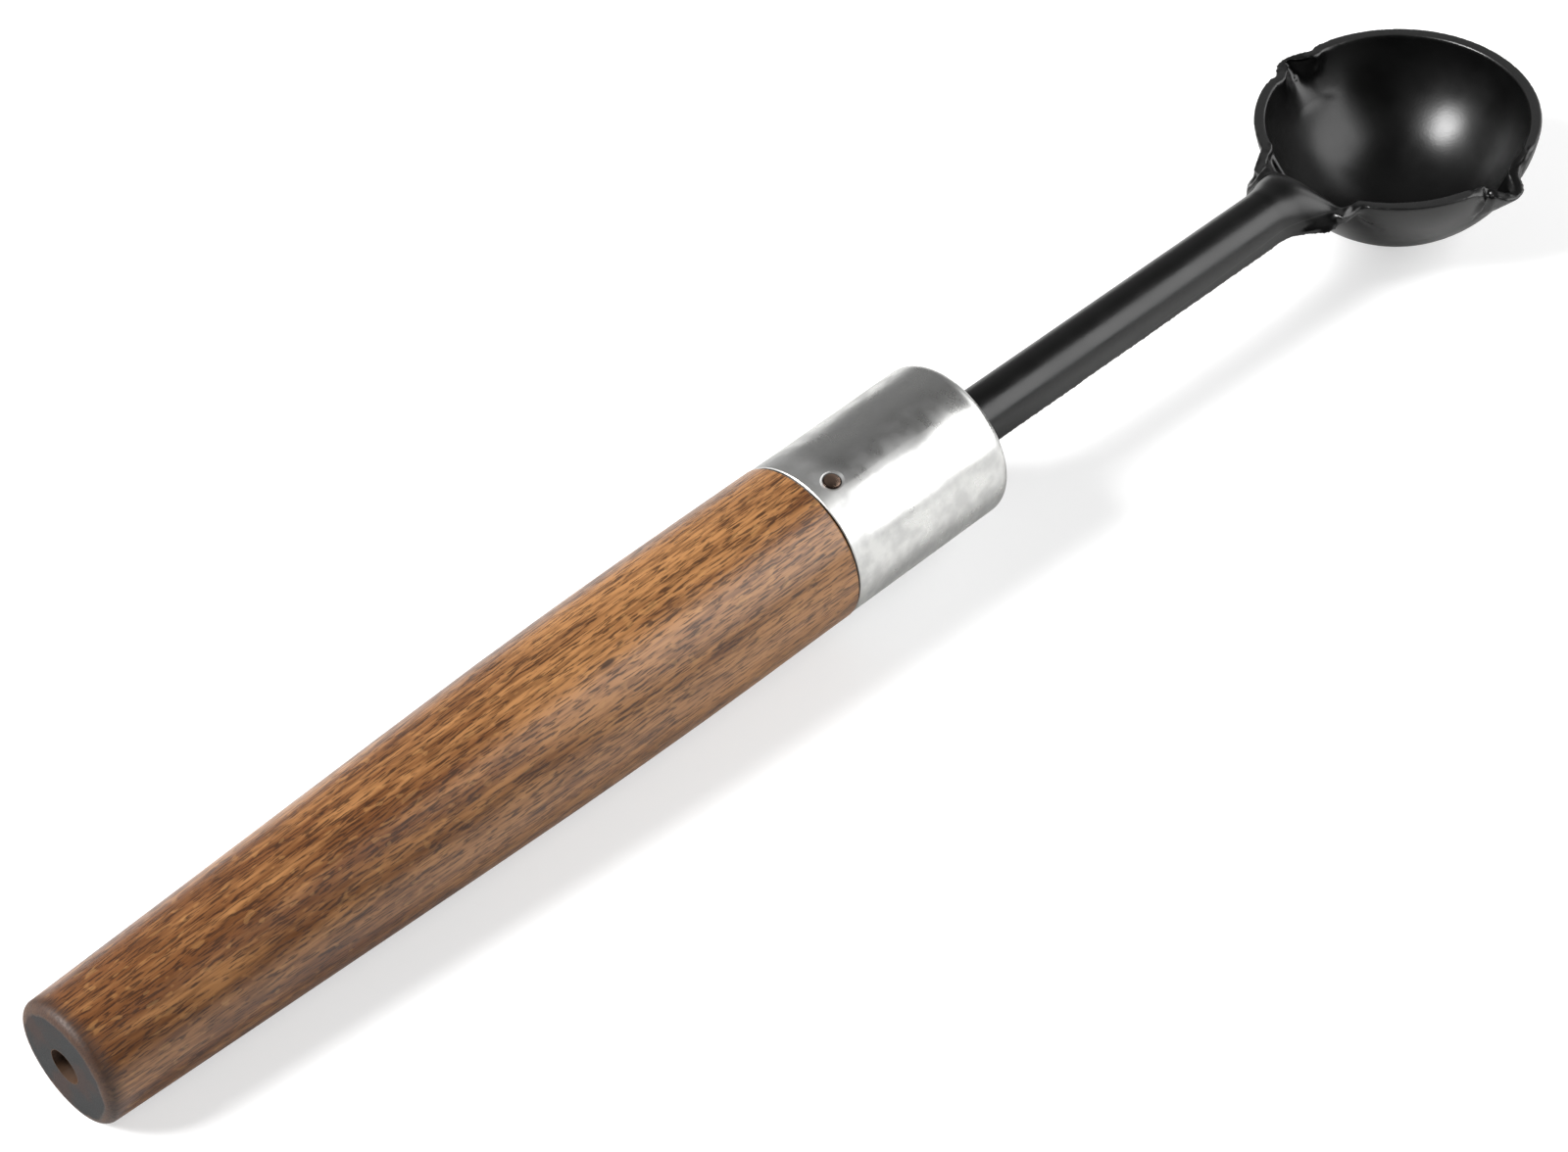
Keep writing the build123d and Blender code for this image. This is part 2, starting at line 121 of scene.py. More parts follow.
def merged_copy(node, name):
    """A copy of a CAD node's loose triangles, joined into one closed mesh."""
    sheet = bmesh.new()
    sheet.from_mesh(frame["nodes"][node].data)
    bmesh.ops.remove_doubles(sheet, verts=sheet.verts, dist=MERGE_WITHIN * MM)
    mesh = bpy.data.meshes.new(name)
    sheet.to_mesh(mesh)
    sheet.free()
    piece = bpy.data.objects.new(name, mesh)
    bpy.context.scene.collection.objects.link(piece)
    return piece


def settle(piece, kind, **settings):
    """Runs one modifier on the piece and keeps its result as the mesh."""
    modifier = piece.modifiers.new(kind.lower(), kind)
    for name, value in settings.items():
        setattr(modifier, name, value)
    bpy.context.view_layer.update()
    seen = piece.evaluated_get(bpy.context.evaluated_depsgraph_get())
    mesh = bpy.data.meshes.new_from_object(seen)
    piece.modifiers.clear()
    piece.data = mesh


# Where the folds of the neck and of the spouts begin and where they are full, and where the plain stem
# begins behind them
NECK_BEHIND = (13.5, 15.0)
SPOUT_BESIDE = (7.5, 6.0)
SPOUT_OUT = (14.5, 16.0)
SPOUT_DOWN = (-8.0, -6.5)
STEM_BEHIND = (30.0, 31.0)


def rise(value, start, end):
    """How far a value has come from start to end, from 0 to 1."""
    return min(max((value - start) / (end - start), 0), 1)


def plain_share(place):
    """How far a place in the rim's frame is out of the folds of the neck and the spouts, from 0 to 1."""
    at_neck = rise(-place.x, *NECK_BEHIND)
    at_spout = rise(abs(place.x), *SPOUT_BESIDE) * rise(abs(place.y), *SPOUT_OUT) * rise(place.z, *SPOUT_DOWN)
    return 1 - max(at_neck, at_spout)


# A mark is pressed at points MARK_STEP apart. It fades at its ends but not to nothing, and it reaches
# MARK_REACH of its widths to each side, over skin that faces as its middle does.
MARK_STEP = 0.15
MARK_ENDS = (0.08, 0.92)
MARK_FADE = 0.6
MARK_REACH = 2.2
MARK_FACES = -0.1


def press_marks(mesh, marks):
    """Raises or sinks the skin along each mark's path, with a soft edge and fading ends."""
    vertices = mesh.vertices
    finder = kdtree.KDTree(len(vertices))
    for vertex in vertices:
        finder.insert(vertex.co, vertex.index)
    finder.balance()
    normals = [vertex.normal.copy() for vertex in vertices]
    moves = {}
    for path, width, height in marks:
        points = [rim_frame @ Vector(place) for place in path]
        length = sum((end - start).length for start, end in zip(points, points[1:]))
        passed = 0.0
        strength = {}
        for start, end in zip(points, points[1:]):
            steps = max(int((end - start).length / (MARK_STEP * MM)), 1)
            for step in range(steps + 1):
                spot = start.lerp(end, step / steps)
                share = (passed + (spot - start).length) / length
                held = min(max(share, MARK_ENDS[0]), MARK_ENDS[1])
                fade = math.sin(math.pi * held) ** MARK_FADE
                face_out = normals[finder.find(spot)[1]]
                for _, index, distance in finder.find_range(spot, MARK_REACH * (width * MM)):
                    if normals[index].dot(face_out) > MARK_FACES:
                        push = fade * math.exp(-(distance / (width * MM)) ** 2)
                        strength[index] = max(strength.get(index, 0.0), push)
            passed += (end - start).length
        for index, push in strength.items():
            moves[index] = moves.get(index, 0.0) + push * height
    for index, move in moves.items():
        vertices[index].co += normals[index] * move * MM


def true_bowl(mesh):
    """Puts the skin back on the bowl's two spheres and its flat rim with rounded edges, out of the folds."""
    middle = Vector((0, 0, BOWL_MIDDLE_UP))
    for vertex in mesh.vertices:
        place = into_rim_frame @ vertex.co
        share = plain_share(place)
        if share == 0:
            continue
        for _ in range(3):
            out = place - middle
            from_wall = out.length - BOWL_RADIUS + SHEET / 2
            wall = abs(from_wall) - SHEET / 2 + EDGE_ROUND
            top = place.z + EDGE_ROUND
            sideways = out.normalized() * math.copysign(1, from_wall)
            if wall > 0 and top > 0:
                away = math.hypot(wall, top)
                step = (sideways * wall + Vector((0, 0, top))) * ((away - EDGE_ROUND) / away)
            elif wall > top:
                step = sideways * (wall - EDGE_ROUND)
            else:
                step = Vector((0, 0, top - EDGE_ROUND))
            place = place - step
        vertex.co = vertex.co.lerp(rim_frame @ place, share)


# The far spout's inside: a flute that is sharp at the lip and widens into the bowl. Its valley runs
# down from VALLEY_TIP at VALLEY_SLOPE, and its bottom is wider the deeper it lies.
VALLEY_TIP = (21.25, -0.6)
VALLEY_SLOPE = 0.88
VALLEY_FLANK = 1.2
VALLEY_START = 0.05
VALLEY_GROWTH = 0.17
VALLEY_BLEND = 0.4
VALLEY_HALF_WIDTH = 3.3
VALLEY_INNERMOST = 12
VALLEY_SIDE_FADE = 2.5
VALLEY_TOP = (0.3, 0.6)
VALLEY_FOOT = (-8.5, -6.5)
FACES_INWARD = 0.3


def cut_flute(mesh):
    """Moves the bowl's inner skin at the far spout out to the flute."""
    inner_radius = BOWL_RADIUS - SHEET
    for vertex in mesh.vertices:
        place = into_rim_frame @ vertex.co
        inward = -(rim_turn.transposed() @ vertex.normal).y
        if abs(place.x) > VALLEY_HALF_WIDTH or place.y < VALLEY_INNERMOST:
            continue
        if inward < FACES_INWARD or place.z > -VALLEY_TOP[0]:
            continue
        below = max(VALLEY_TIP[1] - place.z, 0)
        valley = VALLEY_TIP[0] - VALLEY_SLOPE * below
        bottom = VALLEY_START + VALLEY_GROWTH * below ** 2
        flute = valley - (math.hypot(VALLEY_FLANK * place.x, bottom) - bottom)
        ball = math.sqrt(max(inner_radius ** 2 - (place.z - BOWL_MIDDLE_UP) ** 2 - place.x ** 2, 0))
        apart = (flute - ball) / VALLEY_BLEND
        meeting = ball + VALLEY_BLEND * (math.log1p(math.exp(-abs(apart))) + max(apart, 0))
        share = min(VALLEY_SIDE_FADE * (1 - abs(place.x) / VALLEY_HALF_WIDTH), 1)
        share *= rise(-place.z, *VALLEY_TOP) * rise(place.z, *VALLEY_FOOT)
        place.y += (meeting - place.y) * share
        vertex.co = rim_frame @ place


# Where the skin is rounded off: the throat's crest, its near corner and its far wall, the neck's near
# web, and the lips of the far spout. A reach is how far from its place the rounding comes to nothing.
CREST_BACK = -22.6
CREST_REACH = 2.4
CREST_HALF_WIDTH = 6.5
CREST_LOWEST = 0.3
NEAR_CORNER = Vector((-18.5, -8.6, 0.0))
NEAR_CORNER_REACH = 2.6
FAR_WALL = Vector((-17.6, 7.4, -2.4))
FAR_WALL_REACH = 4.6
WEB_START = Vector((-19.5, -8.0, -0.8))
WEB_END = Vector((-29.0, -4.2, -1.6))
WEB_REACH = (2.6, 1.4)
LIP_OUT = (17.8, 18.6)
LIP_BESIDE = (6.5, 5.0)
LIP_DOWN = (-2.2, -1.4)


def near_throat(place):
    """How strongly a place is rounded off at the throat's crest and corners, from 0 to 1."""
    on_crest = abs(place.y) < CREST_HALF_WIDTH and place.z > CREST_LOWEST
    crest = 2 - 2 * abs(place.x - CREST_BACK) / CREST_REACH if on_crest else 0
    corner = 2 - 2 * (place - NEAR_CORNER).length / NEAR_CORNER_REACH
    far_wall = 2 - 2 * (place - FAR_WALL).length / FAR_WALL_REACH
    return min(max(crest, corner, far_wall, 0), 1)


def near_web(place):
    """How strongly a place is rounded off at the neck's near web, from 0 to 1."""
    web = WEB_END - WEB_START
    along = min(max((place - WEB_START).dot(web) / web.length_squared, 0), 1)
    return rise((place - WEB_START.lerp(WEB_END, along)).length, *WEB_REACH)


def near_lips(place):
    """How strongly a place is rounded off at the far spout's lips, from 0 to 1."""
    return rise(place.y, *LIP_OUT) * rise(abs(place.x), *LIP_BESIDE) * rise(place.z, *LIP_DOWN)


def folded(place):
    """How far a place lies in the folds of the neck and the spouts, from 0 to 1."""
    return 1 - plain_share(place)


def plain_or_stem(place):
    """How freely the skin may be made coarser at a place, from 0 to 1."""
    return max(plain_share(place), rise(-place.x, *STEM_BEHIND))


def weigh(piece, name, strength):
    """Gives each vertex the strength, a function of its place in the rim's frame, in a vertex group."""
    group = piece.vertex_groups.new(name=name)
    for vertex in piece.data.vertices:
        share = strength(into_rim_frame @ vertex.co)
        if share > 0:
            group.add([vertex.index], share, "REPLACE")


def soften(piece, strength, rounds):
    """Smooths the skin where strength says so."""
    weigh(piece, "soft", strength)
    settle(piece, "SMOOTH", factor=0.5, iterations=rounds, vertex_group="soft")
    piece.vertex_groups.clear()


# The solid is turned while it gets its skin, so that no row of cells lies along the rim
pressing = merged_copy("bowl_and_stem", "pressed_bowl_and_stem")
pressing.data.transform(GRID_TURN)
settle(pressing, "REMESH", mode="VOXEL", voxel_size=SKIN_CELL * MM, adaptivity=0)
pressing.data.transform(GRID_TURN.inverted())
settle(pressing, "SMOOTH", factor=0.5, iterations=4)
true_bowl(pressing.data)
soften(pressing, folded, 5)
soften(pressing, near_throat, 22)
soften(pressing, near_web, 12)
soften(pressing, near_lips, 6)
cut_flute(pressing.data)
settle(pressing, "SMOOTH", factor=0.5, iterations=2)
press_marks(pressing.data, NECK_MARKS + SPOUT_MARKS)
settle(pressing, "SMOOTH", factor=0.5, iterations=1)
soften(pressing, folded, 3)
soften(pressing, near_web, 4)
true_bowl(pressing.data)
weigh(pressing, "plain", plain_or_stem)
settle(pressing, "DECIMATE", ratio=SKIN_KEPT, vertex_group="plain")
pressing.vertex_groups.clear()
for face in pressing.data.polygons:
    face.use_smooth = True


def linear(hex_colour):
    """An sRGB hex value as the linear colour that a shader takes."""
    parts = [int(hex_colour[place:place + 2], 16) / 255 for place in (1, 3, 5)]
    return [part / 12.92 if part <= 0.04045 else ((part + 0.055) / 1.055) ** 2.4 for part in parts] + [1]


def give_inputs(tree, node, inputs):
    """Links each named input of a node to a socket, or gives it a value."""
    for name, value in inputs.items():
        if isinstance(value, bpy.types.NodeSocket):
            tree.links.new(value, node.inputs[name])
        else:
            node.inputs[name].default_value = value


def add_node(tree, kind, inputs=None, **settings):
    """Adds a shader node with its settings and its inputs, and returns its outputs."""
    node = tree.nodes.new("ShaderNode" + kind)
    for name, value in settings.items():
        setattr(node, name, value)
    give_inputs(tree, node, inputs or {})
    return node.outputs


def new_material(name):
    """A material, its node tree, its surface shader and the shader's place on the piece."""
    material = bpy.data.materials.new(name)
    material.use_nodes = True
    tree = material.node_tree
    return material, tree, tree.nodes["Principled BSDF"], add_node(tree, "TexCoord")["Object"]


# A Mix node's colours go by number, because its sockets for numbers come first under the same names
SHARE = 0
UNDER = 6
OVER = 7
MIXED = 2

# Black oxide on steel, oiled: it mirrors little, and shows the fine grain of the rolled sheet under it.
# Sizes of patterns are in millimetres. The flat cut edge of the rim is rubbed lighter.
OXIDE = "#020202"
OXIDE_WORN = "#070707"
CUT_EDGE = "#1e1e1e"
OXIDE_GRAIN = 0.35
OXIDE_GRAIN_DEPTH = 0.014
OXIDE_CLOUD = 6.0
black_oxide, tree, shader, place = new_material("oiled_black_oxide_on_sheet_steel")
grain = add_node(tree, "TexNoise", {"Vector": place, "Scale": 1 / (OXIDE_GRAIN * MM), "Detail": 3.0})["Fac"]
cloud = add_node(tree, "TexNoise", {"Vector": place, "Scale": 1 / (OXIDE_CLOUD * MM), "Detail": 2.0})["Fac"]
oxide_tone = add_node(
    tree, "Mix", {SHARE: cloud, UNDER: linear(OXIDE), OVER: linear(OXIDE_WORN)}, data_type="RGBA",
)[MIXED]
in_rim = add_node(tree, "Mapping", {
    "Vector": place, "Location": rim_frame.to_translation(), "Rotation": rim_turn.to_euler(),
    "Scale": (MM, MM, MM),
}, vector_type="TEXTURE")["Vector"]
rim_height = add_node(tree, "SeparateXYZ", {"Vector": in_rim})["Z"]
off_rim = add_node(tree, "Math", {0: rim_height}, operation="ABSOLUTE")["Value"]
on_cut_edge = add_node(tree, "MapRange", {
    "Value": off_rim, "From Min": 0.02, "From Max": 0.14, "To Min": 1.0, "To Max": 0.0,
}, interpolation_type="SMOOTHSTEP")["Result"]
satin = add_node(tree, "MapRange", {
    "Value": cloud, "From Min": 0.2, "From Max": 0.8, "To Min": 0.27, "To Max": 0.36,
}, interpolation_type="SMOOTHSTEP")["Result"]
give_inputs(tree, shader, {
    "Base Color": add_node(
        tree, "Mix", {SHARE: on_cut_edge, UNDER: oxide_tone, OVER: linear(CUT_EDGE)}, data_type="RGBA",
    )[MIXED],
    "Roughness": satin,
    "IOR": 1.45,
    "Normal": add_node(
        tree, "Bump", {"Height": grain, "Strength": 0.5, "Distance": OXIDE_GRAIN_DEPTH * MM},
    )["Normal"],
})
pressing.data.materials.clear()
pressing.data.materials.append(black_oxide)
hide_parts("bowl_and_stem")
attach(pressing, "root")


# Ferrule
# A cup drawn from thin sheet steel and bright plated, pushed over the handle's spigot. Its end is
# pierced for the stem, and a nail in a punched dimple locks it to the wood.
WOOD_LENGTH = 118.2
NAIL_FROM_EDGE = 3.5
NAIL_ANGLE = math.radians(17.7)
NAIL_HEAD_RADIUS = 1.05


def handle_places(tree, place):
    """The shader's place in the handle's own frame, in millimetres."""
    handle_turn = Matrix((handle_axis, handle_side, handle_up)).transposed()
    return add_node(tree, "Mapping", {
        "Vector": place, "Location": butt_middle, "Rotation": handle_turn.to_euler(), "Scale": (MM, MM, MM),
    }, vector_type="TEXTURE")["Vector"]


# Bright plating on drawn steel: a metal with a soft sheen, faint ripples from the drawing and duller
# patches. Shade is painted dark on it where it meets the wood and in the dimple around the nail.
PLATE = "#d2d2d0"
PLATE_CLOUD = "#bfbfbe"
PAINTED_SHADE_TONE = "#15110e"
RIPPLE_DEPTH = 0.4
plated, tree, shader, place = new_material("bright_plated_steel")
handle_place = handle_places(tree, place)
split = add_node(tree, "SeparateXYZ", {"Vector": handle_place})
ripple = add_node(tree, "TexNoise", {"Vector": handle_place, "Scale": 0.13, "Detail": 0.5})["Fac"]
cloud = add_node(tree, "TexNoise", {"Vector": handle_place, "Scale": 0.35, "Detail": 4.0})["Fac"]
dull_end = add_node(tree, "MapRange", {
    "Value": split["X"], "From Min": WOOD_LENGTH + 2.0, "From Max": WOOD_LENGTH + 6.0,
    "To Min": 0.14, "To Max": 0.0,
}, interpolation_type="SMOOTHSTEP")["Result"]
dull_patches = add_node(tree, "MapRange", {
    "Value": cloud, "From Min": 0.3, "From Max": 0.7, "To Min": 0.26, "To Max": 0.38,
}, interpolation_type="SMOOTHSTEP")["Result"]
in_cloud = add_node(
    tree, "MapRange", {"Value": cloud, "From Min": 0.35, "From Max": 0.65}, interpolation_type="SMOOTHSTEP",
)["Result"]
plate_tone = add_node(
    tree, "Mix", {SHARE: in_cloud, UNDER: linear(PLATE), OVER: linear(PLATE_CLOUD)}, data_type="RGBA",
)[MIXED]
# Painted shade: a dark band where the plating meets the wood, and a dark ring in the punched dimple around
# the nail. The plating stops being metal in both places.
shade_at_wood = add_node(tree, "MapRange", {
    "Value": split["X"], "From Min": WOOD_LENGTH + 0.16, "From Max": WOOD_LENGTH + 0.2,
    "To Min": 1.0, "To Max": 0.0,
}, interpolation_type="SMOOTHSTEP")["Result"]
from_nail = add_node(
    tree, "VectorMath", {0: handle_place, 1: (WOOD_LENGTH + NAIL_FROM_EDGE, 0, 0)}, operation="SUBTRACT",
)["Vector"]
off_nail = add_node(
    tree, "VectorMath", {0: from_nail, 1: (0, -math.sin(NAIL_ANGLE), math.cos(NAIL_ANGLE))},
    operation="CROSS_PRODUCT",
)["Vector"]
nail_distance = add_node(tree, "VectorMath", {0: off_nail}, operation="LENGTH")["Value"]
around_nail = add_node(tree, "MapRange", {
    "Value": nail_distance, "From Min": NAIL_HEAD_RADIUS + 0.15, "From Max": NAIL_HEAD_RADIUS + 0.35,
    "To Min": 1.0, "To Max": 0.0,
}, interpolation_type="SMOOTHSTEP")["Result"]
on_nail_side = add_node(
    tree, "MapRange", {"Value": split["Z"], "From Min": 6.0, "From Max": 8.0},
    interpolation_type="SMOOTHSTEP",
)["Result"]
shade_in_nail_dimple = add_node(tree, "Math", {0: around_nail, 1: on_nail_side}, operation="MULTIPLY")["Value"]
painted_shade = add_node(tree, "Math", {0: shade_at_wood, 1: shade_in_nail_dimple}, operation="MAXIMUM")["Value"]
give_inputs(tree, shader, {
    "Base Color": add_node(
        tree, "Mix", {SHARE: painted_shade, UNDER: plate_tone, OVER: linear(PAINTED_SHADE_TONE)}, data_type="RGBA",
    )[MIXED],
    "Metallic": add_node(tree, "Math", {0: 1.0, 1: painted_shade}, operation="SUBTRACT")["Value"],
    "Roughness": add_node(tree, "Math", {0: dull_end, 1: dull_patches}, operation="ADD")["Value"],
    "Normal": add_node(
        tree, "Bump", {"Height": ripple, "Strength": 1.0, "Distance": RIPPLE_DEPTH * MM},
    )["Normal"],
})


def finish_node(node, material):
    """Gives a CAD node its finished material."""
    for slot in frame["nodes"][node].material_slots:
        slot.material = material


finish_node("ferrule", plated)


# Ferrule pin
# A small bright nail with a domed head, driven through the ferrule into the wood. Its drawn steel is a
# little warmer in tone than the plating.
NAIL_STEEL = "#b99d8c"
nail, tree, shader, place = new_material("bright_drawn_nail_steel")
give_inputs(tree, shader, {"Base Color": linear(NAIL_STEEL), "Metallic": 1, "Roughness": 0.16})
finish_node("ferrule_pin", nail)


# Handle
# One piece of turned hardwood, stained brown and lacquered. Its butt is sealed with dark paint, and the
# drilled hole in it is bare wood, with shade painted darker deeper in.
BUTT_FACE_RADIUS = 7.2
BUTT_HOLE_RADIUS = 2.38

# Stained beech under lacquer: soft bands along the grain, fine hairs, short dark pores and a few pale
# ray flecks, with one small knot. The stain is darker at the butt's edge, and the paint's rim is ragged.
WOOD_AMBER = "#a27347"
WOOD_BROWN = "#6a4224"
WOOD_HAIR = "#4d2d16"
WOOD_PORE = "#221007"
RAY_FLECK = "#b98a55"
EDGE_STAIN = "#2e1a0d"
BUTT_PAINT = "#131415"
BUTT_STAIN = "#26150f"
BARE_WOOD = "#46301f"
HOLE_PAINTED_SHADE = "#150d08"
PORE_DEPTH = 0.02
KNOT_PLACE = (81.0, -5.6, 9.4)
KNOT_SIZE = (1.3, 0.32, 0.8)
wood, tree, shader, place = new_material("stained_lacquered_beech")
handle_place = handle_places(tree, place)
split = add_node(tree, "SeparateXYZ", {"Vector": handle_place})


def grain_pattern(length, width, detail, shift=0.0):
    """A pattern whose spots are longer along the grain than across it, in millimetres."""
    stretched = add_node(tree, "Mapping", {
        "Vector": handle_place, "Location": (shift, shift, shift),
        "Scale": (1 / length, 1 / width, 1 / width),
    })["Vector"]
    return add_node(tree, "TexNoise", {"Vector": stretched, "Scale": 1.0, "Detail": detail})["Fac"]


bands = grain_pattern(45.0, 5.0, 2.0)
clusters = grain_pattern(13.0, 1.1, 2.0, 7.0)
dashes = grain_pattern(2.3, 0.22, 1.5, 3.0)
hairs = grain_pattern(6.0, 0.4, 2.0, 5.0)
flecks = grain_pattern(1.7, 0.8, 0.0, 11.0)
half_bands = add_node(tree, "Math", {0: bands, 1: 0.5}, operation="MULTIPLY")["Value"]
half_clusters = add_node(tree, "Math", {0: clusters, 1: 0.5}, operation="MULTIPLY")["Value"]
stain = add_node(tree, "Math", {0: half_bands, 1: half_clusters}, operation="ADD")["Value"]
# Painted light: the stain is made lighter towards the ferrule and darker towards the butt, as if the near
# soft box lit the ferrule end more.
painted_light_to_ferrule = add_node(tree, "MapRange", {
    "Value": split["X"], "From Min": 10.0, "From Max": 110.0, "To Min": -0.07, "To Max": 0.08,
}, interpolation_type="SMOOTHSTEP")["Result"]
stain_and_painted_light = add_node(tree, "Math", {0: stain, 1: painted_light_to_ferrule}, operation="ADD")["Value"]
amber_share = add_node(
    tree, "MapRange", {"Value": stain_and_painted_light, "From Min": 0.36, "From Max": 0.64},
    interpolation_type="SMOOTHSTEP",
)["Result"]
hair_share = add_node(tree, "MapRange", {
    "Value": hairs, "From Min": 0.42, "From Max": 0.66, "To Min": 0.0, "To Max": 0.6,
}, interpolation_type="SMOOTHSTEP")["Result"]
stain_fill = add_node(tree, "Math", {0: stain, 1: 0.3}, operation="MULTIPLY")["Value"]
open_dashes = add_node(tree, "Math", {0: dashes, 1: stain_fill}, operation="SUBTRACT")["Value"]
pores = add_node(
    tree, "MapRange", {"Value": open_dashes, "From Min": 0.37, "From Max": 0.46},
    interpolation_type="SMOOTHSTEP",
)["Result"]
pore_share = add_node(tree, "Math", {0: pores, 1: 0.72}, operation="MULTIPLY")["Value"]
fleck_share = add_node(tree, "MapRange", {
    "Value": flecks, "From Min": 0.68, "From Max": 0.76, "To Min": 0.0, "To Max": 0.22,
}, interpolation_type="SMOOTHSTEP")["Result"]
from_knot = add_node(
    tree, "Mapping", {"Vector": handle_place, "Location": KNOT_PLACE, "Scale": KNOT_SIZE},
    vector_type="TEXTURE",
)["Vector"]
knot_distance = add_node(tree, "VectorMath", {0: from_knot}, operation="LENGTH")["Value"]
knot_share = add_node(tree, "MapRange", {
    "Value": knot_distance, "From Min": 0.6, "From Max": 1.4, "To Min": 0.85, "To Max": 0.0,
}, interpolation_type="SMOOTHSTEP")["Result"]

# The butt: a stained edge, paint on its face and bare wood in its hole, with painted shade deeper in
across = add_node(tree, "CombineXYZ", {"Y": split["Y"], "Z": split["Z"]})["Vector"]
radius = add_node(tree, "VectorMath", {0: across}, operation="LENGTH")["Value"]
ragged = add_node(tree, "TexNoise", {"Vector": handle_place, "Scale": 0.45, "Detail": 4.0})["Fac"]
edge_share = add_node(tree, "MapRange", {
    "Value": split["X"], "From Min": 0.6, "From Max": 3.0, "To Min": 0.85, "To Max": 0.0,
}, interpolation_type="SMOOTHSTEP")["Result"]
ragged_step = add_node(tree, "Math", {0: ragged, 1: 1.4}, operation="MULTIPLY")["Value"]
paint_reach = add_node(tree, "Math", {0: radius, 1: ragged_step}, operation="ADD")["Value"]
in_paint = add_node(tree, "MapRange", {
    "Value": paint_reach, "From Min": BUTT_FACE_RADIUS + 0.45, "From Max": BUTT_FACE_RADIUS + 0.95,
    "To Min": 1.0, "To Max": 0.0,
}, interpolation_type="SMOOTHSTEP")["Result"]
on_face = add_node(tree, "MapRange", {
    "Value": split["X"], "From Min": 0.1, "From Max": 0.3, "To Min": 1.0, "To Max": 0.0,
}, interpolation_type="SMOOTHSTEP")["Result"]
paint_share = add_node(tree, "Math", {0: in_paint, 1: on_face}, operation="MULTIPLY")["Value"]
thin_paint = add_node(tree, "TexNoise", {"Vector": handle_place, "Scale": 0.16, "Detail": 3.0})["Fac"]
thin_share = add_node(
    tree, "MapRange", {"Value": thin_paint, "From Min": 0.45, "From Max": 0.62},
    interpolation_type="SMOOTHSTEP",
)["Result"]
paint_tone = add_node(
    tree, "Mix", {SHARE: thin_share, UNDER: linear(BUTT_PAINT), OVER: linear(BUTT_STAIN)}, data_type="RGBA",
)[MIXED]
hole_share = add_node(tree, "MapRange", {
    "Value": radius, "From Min": BUTT_HOLE_RADIUS + 0.02, "From Max": BUTT_HOLE_RADIUS + 0.12,
    "To Min": 1.0, "To Max": 0.0,
}, interpolation_type="SMOOTHSTEP")["Result"]
# Painted shade: the bare wood in the hole is darkened the deeper it lies.
hole_shade_share = add_node(
    tree, "MapRange", {"Value": split["X"], "From Min": 0.2, "From Max": 2.5},
    interpolation_type="SMOOTHSTEP",
)["Result"]
hole_wood_and_shade = add_node(
    tree, "Mix", {SHARE: hole_shade_share, UNDER: linear(BARE_WOOD), OVER: linear(HOLE_PAINTED_SHADE)}, data_type="RGBA",
)[MIXED]
wood_tone = add_node(
    tree, "Mix", {SHARE: amber_share, UNDER: linear(WOOD_BROWN), OVER: linear(WOOD_AMBER)}, data_type="RGBA",
)[MIXED]
for share, colour in (
    (hair_share, linear(WOOD_HAIR)),
    (pore_share, linear(WOOD_PORE)),
    (fleck_share, linear(RAY_FLECK)),
    (knot_share, linear(WOOD_PORE)),
    (edge_share, linear(EDGE_STAIN)),
    (paint_share, paint_tone),
    (hole_share, hole_wood_and_shade),
):
    wood_tone = add_node(tree, "Mix", {SHARE: share, UNDER: wood_tone, OVER: colour}, data_type="RGBA")[MIXED]
worn_edge = add_node(tree, "Math", {0: edge_share, 1: 0.7}, operation="MULTIPLY")["Value"]
dull_share = add_node(tree, "Math", {0: paint_share, 1: worn_edge}, operation="MAXIMUM")["Value"]
dulling = add_node(tree, "Math", {0: dull_share, 1: 0.45}, operation="MULTIPLY")["Value"]
lacquer = add_node(tree, "MapRange", {
    "Value": dashes, "From Min": 0.3, "From Max": 0.7, "To Min": 0.29, "To Max": 0.38,
}, interpolation_type="SMOOTHSTEP")["Result"]
give_inputs(tree, shader, {
    "Base Color": wood_tone,
    "Roughness": add_node(tree, "Math", {0: lacquer, 1: dulling}, operation="ADD")["Value"],
    "Normal": add_node(
        tree, "Bump", {"Height": pores, "Strength": 0.35, "Distance": -PORE_DEPTH * MM},
    )["Normal"],
})
finish_node("handle", wood)


# Studio
# A pale floor, a soft box close by on the near side with a dimmer one beyond the bowl, and one far off.
# The room is dim on the far side and dark behind the camera.
FLOOR_SIZE = 4.0
FLOOR_COLOUR = "#dadad9"
FLOOR_SEEN = "#b9b9b9"
FLOOR_LIFT = 0.56
WHITE = "#ffffff"
floor_sheet = bmesh.new()
bmesh.ops.create_grid(floor_sheet, x_segments=1, y_segments=1, size=FLOOR_SIZE / 2)
floor_mesh = bpy.data.meshes.new("floor")
floor_sheet.to_mesh(floor_mesh)
floor_sheet.free()
floor = bpy.data.objects.new("floor", floor_mesh)
bpy.context.scene.collection.objects.link(floor)
white_card, tree, shader, place = new_material("white_card_floor")
seen_by_eye = add_node(tree, "LightPath")["Is Camera Ray"]
give_inputs(tree, shader, {
    "Base Color": add_node(
        tree, "Mix", {SHARE: seen_by_eye, UNDER: linear(FLOOR_COLOUR), OVER: linear(FLOOR_SEEN)},
        data_type="RGBA",
    )[MIXED],
    "Emission Color": linear(WHITE),
    "Emission Strength": add_node(
        tree, "Math", {0: seen_by_eye, 1: FLOOR_LIFT}, operation="MULTIPLY",
    )["Value"],
    "Roughness": 0.9,
    "Specular IOR Level": 0.0,
})
floor.data.materials.append(white_card)

